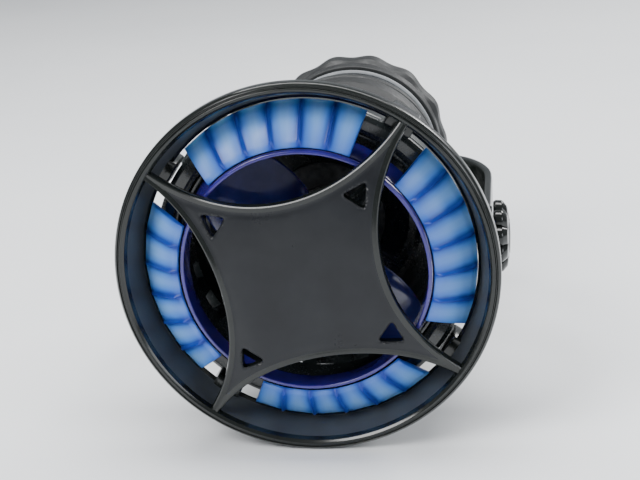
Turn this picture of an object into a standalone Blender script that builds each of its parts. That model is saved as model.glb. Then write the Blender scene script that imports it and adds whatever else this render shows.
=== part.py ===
"""Magnet-mounted wave maker pump with a pull-off wide-flow ring.

Frame: metres, +Z up, pump faces -Y.  The origin is the middle of the face of
the wet-side pad that rests on the tank glass; the glass fills y = 0 to 6 mm.
Head parts are drawn by their distance forward of the tilt pivot, called s.
"""
import math
import bpy
import bmesh
from mathutils import Matrix, Vector

MM = 0.001
GAP = 0.3                    # clearance between neighbouring pieces

# driving dimensions, millimetres
PIVOT_Y = -69.0              # tilt axis, parallel to X
CAGE_R = 35.5                # front ring outer radius
MOUTH_R = 31.0               # clear mouth of the cage
TOOTH_R = 36.4               # outer radius of the belt ribs
FRONT_S = 14.0               # front plane of the cage
PITCHES = 24                 # ribs round the belt
WINDOW = 4.8                 # width of a window round the belt
LUG_X = 36.7                 # outer face of a pivot lug
YOKE_X = 39.0                # middle of a yoke arm
BLADE_TIP = 29.0
GLAND_S = -26.0              # cable gland, behind the pivot
HUB_R = 7.0
SHAFT_R = 1.5
RING_TURN = 10.0             # twist of the wide-flow ring on the cage, degrees
HOOP_R = 42.3
HOOP_IN = 39.6
HOOP_BACK = 14.4
HOOP_FRONT = 24.0
CAP_S = 28.6                 # front of the middle cap
CAP_HALF = 18.0              # half width of the cap at the middle of a side
ARM_W = 2.2                  # arm width at the hoop
THROAT_R = 27.2
VANE_OUT = 36.8
RIB_HALF = 0.8               # half width of a vane rib, degrees
MOTOR_R = 21.3
GLASS = 6.0
PAD_R = 24.0
BASE_R = 25.0
KNOB_R = 8.5
KNOB_X = 44.4

for old in list(bpy.data.objects):
    bpy.data.objects.remove(old, do_unlink=True)

scene = bpy.context.scene
parts = bpy.data.collections.new("wave_maker_pump")
tools = bpy.data.collections.new("cutters")
scene.collection.children.link(parts)
scene.collection.children.link(tools)


def material(name, colour, rough, metal=0.0):
    mat = bpy.data.materials.new(name)
    mat.use_nodes = True
    shader = mat.node_tree.nodes["Principled BSDF"]
    shader.inputs["Base Color"].default_value = (*colour, 1.0)
    shader.inputs["Roughness"].default_value = rough
    shader.inputs["Metallic"].default_value = metal
    return mat


DARK = material("dark_gloss_plastic", (0.025, 0.030, 0.032), 0.22)
SLATE = material("slate_plastic", (0.050, 0.058, 0.062), 0.34)
BLUE = material("blue_clear_plastic", (0.16, 0.50, 0.95), 0.18)
INDIGO = material("indigo_clear_plastic", (0.06, 0.05, 0.55), 0.18)
BLADE = material("blade_clear_plastic", (0.10, 0.12, 0.62), 0.15)
MATTE = material("matte_black_plastic", (0.020, 0.022, 0.024), 0.55)
RUBBER = material("black_rubber", (0.015, 0.015, 0.016), 0.80)
SILICONE = material("grey_silicone", (0.20, 0.21, 0.22), 0.70)
STEEL = material("stainless_steel", (0.62, 0.63, 0.64), 0.28, 1.0)
NICKEL = material("nickel_magnet", (0.55, 0.55, 0.53), 0.25, 1.0)
FERRITE = material("dark_ferrite", (0.05, 0.05, 0.055), 0.60)
CERAMIC = material("white_ceramic", (0.85, 0.85, 0.82), 0.20)
COPPER = material("coil_copper", (0.72, 0.30, 0.12), 0.35, 1.0)
IRON = material("core_steel", (0.35, 0.35, 0.37), 0.45, 1.0)


def head(s, r, deg):
    """Point on the head: s forward of the pivot, radius r, angle from +X."""
    a = math.radians(deg)
    return Vector((r * math.cos(a), PIVOT_Y - s, r * math.sin(a))) * MM


def add(name, mesh, mat, keep=True):
    obj = bpy.data.objects.new(name, mesh)
    if mat:
        mesh.materials.append(mat)
    if keep:
        parts.objects.link(obj)
    else:
        tools.objects.link(obj)
        obj.hide_render = True
        obj.display_type = 'WIRE'
    return obj


def finish(name, bm, mat, keep=True, origin=None):
    """Object from a bmesh in world axes, its origin moved to a point in mm."""
    bmesh.ops.remove_doubles(bm, verts=bm.verts, dist=1e-6)
    bmesh.ops.recalc_face_normals(bm, faces=bm.faces)
    mesh = bpy.data.meshes.new(name)
    bm.to_mesh(mesh)
    bm.free()
    obj = add(name, mesh, mat, keep)
    if origin is not None:
        move = Vector(origin) * MM
        mesh.transform(Matrix.Translation(-move))
        obj.location = move
    return obj


QUARTER = math.pi / 2
HEAD = ((0, PIVOT_Y, 0), (QUARTER, 0, 0))        # local Z points forward, -Y
BASE = ((0, 0, 0), (-QUARTER, 0, 0))             # local Z points to the glass, +Y


def turned(name, profile, steps, mat, place=HEAD, keep=True):
    """Screw a closed (along, radius) profile round the local Z axis."""
    pts = [(r, z) for z, r in profile]
    area = sum(pts[i - 1][0] * pts[i][1] - pts[i][0] * pts[i - 1][1]
               for i in range(len(pts)))
    if area > 0:
        pts.reverse()
    on_axis = [i for i, p in enumerate(pts) if p[0] < 1e-6]
    if on_axis:
        while not (pts[0][0] < 1e-6 and pts[-1][0] < 1e-6):
            pts = pts[1:] + pts[:1]
    mesh = bpy.data.meshes.new(name)
    edges = [(i, i + 1) for i in range(len(pts) - 1)]
    if not on_axis:
        edges.append((len(pts) - 1, 0))
    mesh.from_pydata([(r * MM, 0, z * MM) for r, z in pts], edges, [])
    obj = add(name, mesh, mat, keep)
    obj.location = Vector(place[0]) * MM
    obj.rotation_euler = place[1]
    screw = obj.modifiers.new("turn", 'SCREW')
    screw.axis = 'Z'
    screw.angle = 2 * math.pi
    screw.steps = steps
    screw.render_steps = steps
    screw.use_merge_vertices = True
    screw.merge_threshold = 1e-6
    screw.use_smooth_shade = False
    return obj


def lobed(name, profile, count, mat, turn, lobes, depth, free, centre):
    """Turned shape whose named profile points swell in and out round the axis."""
    bm = bmesh.new()
    loops = []
    for index, (along, radius) in enumerate(profile):
        if radius <= 1e-6:
            loops.append([bm.verts.new(turn @ Vector((0, 0, along * MM)))])
            continue
        ring = []
        for k in range(count):
            a = 2 * math.pi * k / count
            r = radius + (depth * math.cos(a * lobes) if index in free else 0.0)
            spot = Vector((r * math.cos(a), r * math.sin(a), along)) * MM
            ring.append(bm.verts.new(turn @ spot))
        loops.append(ring)
    for a, b in zip(loops[:-1], loops[1:]):
        for k in range(count):
            n = (k + 1) % count
            if len(a) == 1:
                bm.faces.new((a[0], b[k], b[n]))
            elif len(b) == 1:
                bm.faces.new((a[k], b[0], a[n]))
            else:
                bm.faces.new((a[k], b[k], b[n], a[n]))
    bmesh.ops.recalc_face_normals(bm, faces=bm.faces)
    mesh = bpy.data.meshes.new(name)
    bm.to_mesh(mesh)
    bm.free()
    obj = add(name, mesh, mat)
    obj.location = Vector(centre) * MM
    return obj


def cylinder(name, centre, axis, radius, length, count=20):
    """Hidden cylinder for joining or cutting; sizes in millimetres."""
    bm = bmesh.new()
    turn = Vector((0, 0, 1)).rotation_difference(Vector(axis)).to_matrix().to_4x4()
    place = Matrix.Translation(Vector(centre) * MM) @ turn
    bmesh.ops.create_cone(bm, cap_ends=True, segments=count, radius1=radius * MM,
                          radius2=radius * MM, depth=length * MM, matrix=place)
    return finish(name, bm, None, False)


def blocks(name, size, spots):
    """Hidden boxes standing on the head's circle, one for each (s, r, angle)."""
    bm = bmesh.new()
    for s, r, deg in spots:
        turn = Matrix.Rotation(math.radians(-deg), 4, 'Y')
        place = Matrix.Translation(head(s, r, deg)) @ turn
        scale = Matrix.Diagonal([v * MM for v in size] + [1.0])
        bmesh.ops.create_cube(bm, size=1.0, matrix=place @ scale)
    return finish(name, bm, None, False)


def combine(obj, other, mode):
    mod = obj.modifiers.new(mode.lower() + "_" + other.name, 'BOOLEAN')
    mod.operation = mode
    mod.solver = 'EXACT'
    mod.object = other


def sector(rows, angles, filled=None):
    """Block between matching rows of (s, radius) corners over a run of angles.

    rows run along the shape and each row crosses its wall; filled(j, k) says
    whether layer j is solid over step k.
    """
    bm = bmesh.new()
    cache = {}

    def vert(i, j, k):
        if (i, j, k) not in cache:
            cache[i, j, k] = bm.verts.new(head(rows[i][j][0], rows[i][j][1], angles[k]))
        return cache[i, j, k]

    def solid(i, j, k):
        inside = 0 <= i < len(rows) - 1 and 0 <= j < len(rows[0]) - 1
        inside = inside and 0 <= k < len(angles) - 1
        return inside and (filled is None or filled(j, k))

    walls = (
        ((-1, 0, 0), ((0, 0, 0), (0, 0, 1), (0, 1, 1), (0, 1, 0))),
        ((1, 0, 0), ((1, 0, 0), (1, 1, 0), (1, 1, 1), (1, 0, 1))),
        ((0, -1, 0), ((0, 0, 0), (1, 0, 0), (1, 0, 1), (0, 0, 1))),
        ((0, 1, 0), ((0, 1, 0), (0, 1, 1), (1, 1, 1), (1, 1, 0))),
        ((0, 0, -1), ((0, 0, 0), (0, 1, 0), (1, 1, 0), (1, 0, 0))),
        ((0, 0, 1), ((0, 0, 1), (1, 0, 1), (1, 1, 1), (0, 1, 1))),
    )
    for i in range(len(rows) - 1):
        for j in range(len(rows[0]) - 1):
            for k in range(len(angles) - 1):
                if not solid(i, j, k):
                    continue
                for (di, dj, dk), corners in walls:
                    if not solid(i + di, j + dj, k + dk):
                        bm.faces.new([vert(i + a, j + b, k + c) for a, b, c in corners])
    return bm


def slab(points_a, points_b, rows, cols):
    """Closed body between two matching grids of points."""
    bm = bmesh.new()
    top = [bm.verts.new(p) for p in points_a]
    low = [bm.verts.new(p) for p in points_b]
    for i in range(rows - 1):
        for j in range(cols - 1):
            a = i * cols + j
            quad = (a, a + 1, a + cols + 1, a + cols)
            bm.faces.new([top[q] for q in quad])
            bm.faces.new([low[q] for q in reversed(quad)])
    rim = list(range(cols))
    rim += [i * cols + cols - 1 for i in range(1, rows)]
    rim += [(rows - 1) * cols + j for j in range(cols - 2, -1, -1)]
    rim += [i * cols for i in range(rows - 2, 0, -1)]
    for n, a in enumerate(rim):
        b = rim[(n + 1) % len(rim)]
        bm.faces.new((top[a], low[a], low[b], top[b]))
    return bm


# ---------------------------------------------------------------- magnet base
def magnet_side(prefix, start, way):
    """One magnet half: pad, plate, magnet and cup; way is +1 or -1 along Y."""
    def y(d):
        return start + way * d

    pad = [(y(0), 0), (y(0), PAD_R - 0.5), (y(0.5), PAD_R), (y(1.6), PAD_R),
           (y(1.6), 0)]
    turned(prefix + "_pad", pad, 36, SILICONE, BASE)
    plate = [(y(1.9), 0), (y(1.9), 22.3), (y(3.9), 22.3), (y(3.9), 0)]
    turned(prefix + "_plate", plate, 28, STEEL, BASE)
    disc = [(y(4.2), 0), (y(4.2), 19.0), (y(10.2), 19.0), (y(10.2), 0)]
    turned(prefix + "_magnet", disc, 28, NICKEL, BASE)
    return y


y = magnet_side("wet", 0.0, -1)
cup = [(y(1.9), 22.6), (y(1.9), BASE_R), (y(10.5), BASE_R - 0.4),
       (y(13.6), 23.2), (y(14.8), 20.4), (y(15.2), 9.8),
       (y(18.0), 8.8), (y(18.0), 3.3), (y(11.4), 3.3), (y(11.4), 0), (y(10.5), 0),
       (y(10.5), 22.6)]
turned("wet_housing", cup, 40, MATTE, BASE)
ring = [(-18.3, 3.5), (-18.3, 8.4), (-19.3, 8.4), (-19.3, 3.5)]
turned("swivel_washer", ring, 24, RUBBER, BASE)
pin = [(-11.8, 0), (-11.8, 2.7), (-12.1, 3.0), (-23.9, 3.0), (-23.9, 6.2),
       (-25.6, 6.2), (-26.1, 5.4), (-26.1, 0)]
turned("swivel_screw", pin, 20, STEEL, BASE)

y = magnet_side("dry", GLASS, 1)
cup = [(y(10.5), 0), (y(10.5), 22.6), (y(1.9), 22.6), (y(1.9), BASE_R),
       (y(6.4), BASE_R), (y(7.4), 25.8), (y(12.2), 26.0), (y(15.2), 23.6),
       (y(17.0), 16.0), (y(17.0), 0)]
lobed("dry_housing", cup, 56, MATTE, Matrix.Rotation(-QUARTER, 4, 'X'), 14, 0.45,
      (5, 6, 7), (0, 0, 0))

# ----------------------------------------------------------------------- yoke
path = [(YOKE_X, PIVOT_Y - 2, 1.1, 5.6), (YOKE_X, -58.0, 1.1, 5.8),
        (YOKE_X, -40.0, 1.1, 6.0), (38.4, -35.0, 1.3, 6.2), (36.3, -29.8, 1.5, 6.4),
        (33.0, -25.8, 1.7, 6.6), (28.4, -22.9, 1.8, 6.8), (23.0, -21.6, 1.9, 7.0),
        (12.0, -21.6, 2.0, 7.6)]
path += [(-x, b, t, w) for x, b, t, w in reversed(path)]
bm = bmesh.new()
sections = []
for i, (x, b, thick, half) in enumerate(path):
    before = Vector(path[max(i - 1, 0)][:2])
    after = Vector(path[min(i + 1, len(path) - 1)][:2])
    line = (after - before).normalized()
    out = Vector((-line.y, line.x)) * thick
    flat = half - 0.7
    loop = []
    for side, z in ((1, flat), (0.45, half), (-0.45, half), (-1, flat),
                    (-1, -flat), (-0.45, -half), (0.45, -half), (1, -flat)):
        loop.append(bm.verts.new(Vector((x + out.x * side, b + out.y * side, z)) * MM))
    sections.append(loop)
for a, b in zip(sections[:-1], sections[1:]):
    for k in range(8):
        n = (k + 1) % 8
        bm.faces.new((a[k], a[n], b[n], b[k]))
bm.faces.new(sections[0])
bm.faces.new(list(reversed(sections[-1])))
yoke = finish("yoke", bm, DARK)
boss = cylinder("yoke_boss", (0, -21.6, 0), (0, 1, 0), 9.2, 4.0, 24)
combine(yoke, boss, 'UNION')
for side in (-1, 1):
    eye = cylinder("yoke_eye", (side * YOKE_X, PIVOT_Y, 0), (1, 0, 0), 7.2, 2.4, 22)
    combine(yoke, eye, 'UNION')
hole = cylinder("yoke_swivel_hole", (0, -21.6, 0), (0, 1, 0), 3.35, 12, 20)
combine(yoke, hole, 'DIFFERENCE')
hole = cylinder("yoke_pivot_hole", (0, PIVOT_Y, 0), (1, 0, 0), 1.9, 100, 14)
combine(yoke, hole, 'DIFFERENCE')

for side, word in ((-1, "left"), (1, "right")):
    washer = [(37.0, 1.9), (37.0, 5.4), (37.5, 5.4), (37.5, 1.9)]
    axis = ((0, PIVOT_Y, 0), (0, side * QUARTER, 0))
    turned("pivot_washer_" + word, washer, 18, RUBBER, axis)
    knob = [(32.4, 0), (32.4, 1.4), (40.5, 1.4), (40.5, KNOB_R - 0.6),
            (42.6, KNOB_R - 0.7), (43.7, 6.6), (KNOB_X, 4.0), (KNOB_X, 0)]
    lobed("knob_" + word, knob, 40, DARK, Matrix.Rotation(side * QUARTER, 4, 'Y'), 10,
          0.55, (3, 4, 5), (0, PIVOT_Y, 0))

# ----------------------------------------------------------------------- cage
shell = [(13.9, 32.0), (13.0, MOUTH_R), (4.4, MOUTH_R), (-4.2, 30.9), (-10.2, 27.9),
         (-15.4, 20.0), (-16.0, 9.9), (-18.0, 9.9), (-18.0, 26.4), (-13.0, 29.8),
         (-8.0, 32.3), (-3.1, 33.45), (-3.0, TOOTH_R), (3.0, TOOTH_R), (3.6, CAGE_R),
         (13.0, CAGE_R), (13.9, 34.4)]
cage = turned("cage", shell, 72, SLATE)
pitch = 360.0 / PITCHES
spots = [(0, 34.0, k * pitch) for k in range(PITCHES) if k not in (0, PITCHES // 2)]
combine(cage, blocks("cage_windows", (9.0, 6.4, WINDOW), spots), 'DIFFERENCE')
for side in (-1, 1):
    lug = cylinder("cage_lug", (side * (LUG_X - 2.5), PIVOT_Y, 0), (1, 0, 0), 5.4, 5.0, 18)
    combine(cage, lug, 'UNION')
bore = cylinder("cage_lug_bore_left", (-36.0, PIVOT_Y, 0), (1, 0, 0), 1.8, 8.0, 12)
combine(cage, bore, 'DIFFERENCE')
bore = cylinder("cage_lug_bore_right", (36.0, PIVOT_Y, 0), (1, 0, 0), 1.8, 8.0, 12)
combine(cage, bore, 'DIFFERENCE')

# spider that carries the front bearing, behind the blades
band = [(12.2, 30.0), (12.2, 30.7), (4.8, 30.7), (4.8, 29.7), (11.0, 29.7)]
spider = turned("spider", band, 56, SLATE)
rows_n = 7
for turn in range(4):
    front = []
    back = []
    for i in range(rows_n):
        r = 8.5 + (30.25 - 8.5) * i / (rows_n - 1)
        half = 1.5 + 3.9 * abs((r - 19.0) / 11.2) ** 2.2
        lift = 5.2 if r < 27.5 else 5.2 + 1.5 * (r - 27.5)
        deg = 45.0 + 90.0 * turn
        for side in (-1, 0, 1):
            across = math.degrees(side * half / r)
            front.append(head(lift + (0.35 if side == 0 else 0), r, deg + across))
            back.append(head(2.0 if r < 27.5 else 2.0 + 1.2 * (r - 27.5), r, deg + across))
    arm = finish("spider_arm", slab(front, back, rows_n, 3), None, keep=False)
    combine(spider, arm, 'UNION')
hubring = [(5.7, 4.3), (5.7, 10.0), (5.2, 10.5), (1.6, 10.5), (1.6, 4.3)]
core = turned("spider_core", hubring, 28, None, keep=False)
combine(spider, core, 'UNION')

# ------------------------------------------------------------ rotating pieces
tube = [(5.6, 1.8), (5.6, 4.0), (1.7, 4.0), (1.7, 1.8)]
turned("front_bushing", tube, 18, CERAMIC)
rod = [(11.8, 0), (11.8, 1.3), (11.6, SHAFT_R), (-29.6, SHAFT_R), (-29.8, 1.3), (-29.8, 0)]
turned("shaft", rod, 14, CERAMIC)
tube = [(-16.2, 1.8), (-16.2, 8.0), (-26.8, 8.0), (-26.8, 1.8)]
turned("rotor_magnet", tube, 24, FERRITE)
tube = [(-27.1, 1.9), (-27.1, 3.9), (-27.7, 3.9), (-27.7, 1.9)]
turned("thrust_washer", tube, 18, CERAMIC)
tube = [(-28.0, 1.8), (-28.0, 4.4), (-30.1, 4.4), (-30.1, 1.8)]
turned("rear_bushing", tube, 18, CERAMIC)

hub = [(12.0, 1.8), (12.0, 6.2), (11.4, HUB_R), (6.6, HUB_R), (6.2, 6.6), (6.2, 1.8)]
prop = turned("propeller", hub, 32, BLADE)
nr = 9
nc = 5
for turn in range(2):
    front = []
    back = []
    for i in range(nr):
        u = i / (nr - 1)
        r = 5.8 + (BLADE_TIP - 5.8) * u
        oval = math.sqrt(max(1.0 - (2.0 * u - 1.06) ** 2 / 1.16, 0.02))
        half = 2.6 + 8.2 * oval
        tilt = math.radians(20.0 - 8.0 * u)
        for j in range(nc):
            v = 2.0 * j / (nc - 1) - 1.0
            c = v * half * math.cos(tilt)
            drop = v * half * math.sin(tilt)
            reach = math.sqrt(max(r * r - 0.55 * c * c, 4.0))
            deg = 135.0 + 180.0 * turn + math.degrees(math.atan2(c, reach))
            deg_r = min(math.hypot(reach, c), BLADE_TIP)
            mid = 9.8 + drop + 0.4 * (1 - v * v)
            thick = 0.30 + 0.6 * (1 - v * v) * (1 - 0.55 * u)
            front.append(head(mid + thick, deg_r, deg))
            back.append(head(mid - thick, deg_r, deg))
    blade = finish("blade_tool", slab(front, back, nr, nc), None, keep=False)
    combine(prop, blade, 'UNION')
nose = [(14.6, 0), (14.4, 2.2), (13.4, 5.2), (12.3, 6.2), (12.3, 0)]
turned("hub_cap", nose, 24, INDIGO)

# ------------------------------------------------------------------ motor end
can = [(-14.6, 8.5), (-14.6, 14.2), (-15.7, 14.2), (-15.7, 9.5), (-31.2, 9.5),
       (-31.2, 0), (-30.4, 0), (-30.4, 4.7), (-28.0, 4.7), (-28.0, 8.5)]
turned("rotor_can", can, 28, MATTE)
shell = [(-18.3, 9.8), (-18.3, 26.1), (-20.9, 26.1), (-21.4, MOTOR_R + 0.2),
         (-32.4, MOTOR_R - 0.2), (-33.0, 20.6), (-33.0, 19.2), (-20.6, 19.2),
         (-20.6, 9.8)]
motor = turned("motor_housing", shell, 40, MATTE)
boss = cylinder("gland_boss", (0, PIVOT_Y - GLAND_S, -21.4), (0, 0, 1), 5.2, 4.2, 18)
combine(motor, boss, 'UNION')
bore = cylinder("gland_bore", (0, PIVOT_Y - GLAND_S, -22.0), (0, 0, 1), 2.0, 12.0, 12)
combine(motor, bore, 'DIFFERENCE')
for turn in range(4):
    deg = 45.0 + 90.0 * turn
    spot = head(0, 23.9, deg) / MM
    for target, word in ((motor, "flange"), (cage, "bowl")):
        hole = cylinder("screw_hole_" + word, (spot.x, PIVOT_Y + 18.4, spot.z),
                        (0, 1, 0), 1.4, 9.0 if target == motor else 4.2, 10)
        combine(target, hole, 'DIFFERENCE')

    screw = [(-16.8, 0), (-16.8, 1.1), (-21.4, 1.1), (-21.4, 2.0), (-22.7, 1.9),
             (-23.0, 1.4), (-23.0, 0)]
    turned("cage_screw_%d" % (turn + 1), screw, 10, STEEL, (tuple(spot), HEAD[1]))

cap = [(-31.5, 0), (-31.5, 17.3), (-33.3, 17.3), (-33.3, 21.0),
       (-34.8, 20.4), (-36.0, 17.8), (-36.5, 13.0), (-36.5, 0)]
turned("rear_cap", cap, 36, MATTE)
seal = [(-31.6, 17.6), (-31.6, 18.9), (-32.8, 18.9), (-32.8, 17.6)]
turned("cap_seal", seal, 28, RUBBER)

core = [(-22.0, 9.9), (-22.0, 17.8), (-29.2, 17.8), (-29.2, 9.9)]
stator = turned("stator_core", core, 48, IRON)
slots = [(-25.6, 11.7, pole * 60.0 + 30.0) for pole in range(6)]
combine(stator, blocks("stator_slots", (5.4, 12.0, 8.4), slots), 'DIFFERENCE')
for pole in range(6):
    wedge = [((-21.2, 10.4), (-21.2, 13.7)), ((-30.2, 10.4), (-30.2, 13.7))]
    at = [pole * 60.0 + d for d in (16.5, 23.0, 30.0, 37.0, 43.5)]
    finish("coil_%d" % (pole + 1), sector(wedge, at), COPPER)

gland = [(-23.8, 0), (-23.8, 4.6), (-25.0, 4.6), (-25.2, 3.4), (-25.8, 3.4), (-26.0, 4.0),
         (-26.8, 3.9), (-27.0, 3.0), (-27.6, 3.0), (-27.8, 3.5), (-28.6, 3.4),
         (-28.8, 2.6), (-29.4, 2.5), (-29.4, 0)]
turned("cable_gland", gland, 16, RUBBER, ((0, PIVOT_Y - GLAND_S, 0), (0, 0, 0)))

# ------------------------------------------------------------ wide-flow ring
hoop = [(HOOP_FRONT, 41.0), (23.4, HOOP_R - 0.2), (22.6, HOOP_R), (21.0, HOOP_R),
        (14.9, 40.7), (HOOP_BACK, 40.2), (HOOP_BACK, 37.2), (14.9, 37.2), (15.3, 37.9),
        (22.4, HOOP_IN), (23.6, 40.0)]
guard = turned("ring_guard", hoop, 64, DARK)
bend = (CAP_HALF * math.sqrt(2.0) - ARM_W) / (2.0 - math.sqrt(2.0))
away = CAP_HALF + bend
dome = [(CAP_S, 0), (CAP_S - 0.25, 9.0), (CAP_S - 1.0, 18.0), (CAP_S - 3.4, 29.0),
        (23.0, HOOP_IN + 1.4), (20.8, HOOP_IN + 1.4), (CAP_S - 5.6, 29.0),
        (CAP_S - 3.2, 18.0), (CAP_S - 2.45, 9.0), (CAP_S - 2.2, 0)]
web = turned("guard_web", dome, 48, None, keep=False)
for turn in range(4):
    spot = head(22.0, away, RING_TURN + 90.0 * turn) / MM
    hole = cylinder("guard_opening", spot, (0, 1, 0), bend, 24.0, 96)
    combine(web, hole, 'DIFFERENCE')
combine(guard, web, 'UNION')
for turn in range(4):
    deg = RING_TURN + 45.0 + 90.0 * turn
    bm = bmesh.new()
    aim = Matrix.Rotation(math.radians(-deg), 4, 'Y') @ Matrix.Rotation(-QUARTER, 4, 'X')
    place = Matrix.Translation(head(27.0, 22.6, deg)) @ aim
    bmesh.ops.create_cone(bm, cap_ends=True, segments=3, radius1=3.4 * MM,
                          radius2=3.4 * MM, depth=16.0 * MM, matrix=place)
    window = finish("guard_window", bm, None, keep=False)
    combine(guard, window, 'DIFFERENCE')
spots = [(12.4, 38.0, RING_TURN + 45.0 + 90.0 * turn) for turn in range(4)]
combine(guard, blocks("guard_clips", (4.2, 7.6, 6.6), spots), 'UNION')

throat = [(22.8, THROAT_R - 0.5), (22.6, THROAT_R + 0.4), (20.0, THROAT_R + 0.3),
          (14.4, 29.4), (14.4, 28.0), (18.0, 26.4)]
turned("throat_ring", throat, 56, INDIGO)

rows = []
for n in range(3):
    u = n / 2.0
    s = 22.2 - (22.2 - 15.4) * u
    r = 28.0 + (VANE_OUT - 28.0) * u
    nrm = Vector((0.79, 0.61))
    rows.append(tuple((s + nrm.x * t, r + nrm.y * t) for t in (0.0, 1.0, 1.0 + 1.1 - 0.4 * u)))
for turn, word in enumerate(("right", "top", "left", "bottom")):
    at = [-33.6]
    for rib in range(5):
        middle = (rib - 2) * 11.6
        at += [middle - 4.4, middle - RIB_HALF, middle + RIB_HALF, middle + 4.4]
    at += [33.6]
    spread = [a + RING_TURN + 90.0 * turn for a in at]
    bm = sector(rows, spread, lambda j, k: j == 0 or k % 4 == 2)
    finish("vane_" + word, bm, BLUE, origin=(0, PIVOT_Y, 0))
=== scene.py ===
"""Looks for the magnet-mounted wave maker pump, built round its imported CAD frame."""
import math
import bpy
import bmesh
from mathutils import Matrix, Vector
from mathutils.geometry import delaunay_2d_cdt


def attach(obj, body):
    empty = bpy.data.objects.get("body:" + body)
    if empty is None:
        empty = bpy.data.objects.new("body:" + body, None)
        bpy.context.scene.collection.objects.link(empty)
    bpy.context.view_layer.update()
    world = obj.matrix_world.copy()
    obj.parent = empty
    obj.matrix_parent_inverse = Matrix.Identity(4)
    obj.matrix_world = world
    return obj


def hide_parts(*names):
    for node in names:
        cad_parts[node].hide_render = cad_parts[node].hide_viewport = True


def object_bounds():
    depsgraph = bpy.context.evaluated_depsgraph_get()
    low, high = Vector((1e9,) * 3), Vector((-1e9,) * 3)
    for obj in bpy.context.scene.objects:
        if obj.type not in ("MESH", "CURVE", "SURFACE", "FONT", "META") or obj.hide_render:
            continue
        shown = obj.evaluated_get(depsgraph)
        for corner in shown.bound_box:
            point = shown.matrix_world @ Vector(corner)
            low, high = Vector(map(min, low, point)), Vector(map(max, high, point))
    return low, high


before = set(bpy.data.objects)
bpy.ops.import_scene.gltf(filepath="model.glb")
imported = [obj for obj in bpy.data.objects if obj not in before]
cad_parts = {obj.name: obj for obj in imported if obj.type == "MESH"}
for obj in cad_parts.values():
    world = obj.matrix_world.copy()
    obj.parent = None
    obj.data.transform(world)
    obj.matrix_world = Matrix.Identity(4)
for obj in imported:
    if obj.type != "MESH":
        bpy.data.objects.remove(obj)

cad_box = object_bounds()

# Lengths are millimetres and angles degrees, as in the CAD; the stage is in metres.
MM = 0.001
QUARTER = math.pi / 2      # a right angle in radians
PIVOT_Y = -69.0            # tilt axis
RING_TURN = 10.0           # twist of the wide-flow ring on the cage
HOOP_IN = 39.6             # inner radius of the hoop's front half
CAP_S = 28.6               # front of the guard's cap, ahead of the tilt axis
CAP_HALF = 18.0            # axis to the nearest point of an opening
ARM_W = 2.2                # width of an arm where it is narrowest
BEND = (CAP_HALF * math.sqrt(2.0) - ARM_W) / (2.0 - math.sqrt(2.0))  # openings' edge radius
AWAY = CAP_HALF + BEND     # axis to the centre of an opening's arc
LIP = 0.5                  # radius of the lip rolled round an opening
GUARD_T = 2.2              # thickness of the guard
CAP_INDEX = 1              # material places on the guard, after its gloss black
# slot of the paler slate copy, painted light on the hoop's inner wall
PAINTED_LIGHT_INDEX = 2
VANE_HALF = 33.6           # half the sweep of one vane
RIB_PITCH = 11.6           # from one rib of a vane to the next
RIB_STOP = 29.0            # ribs end this far from a vane's middle
BLADE_TIP = 29.0           # radius of the propeller
SCREW_R = 23.9             # circle of the four cage screws


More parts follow.
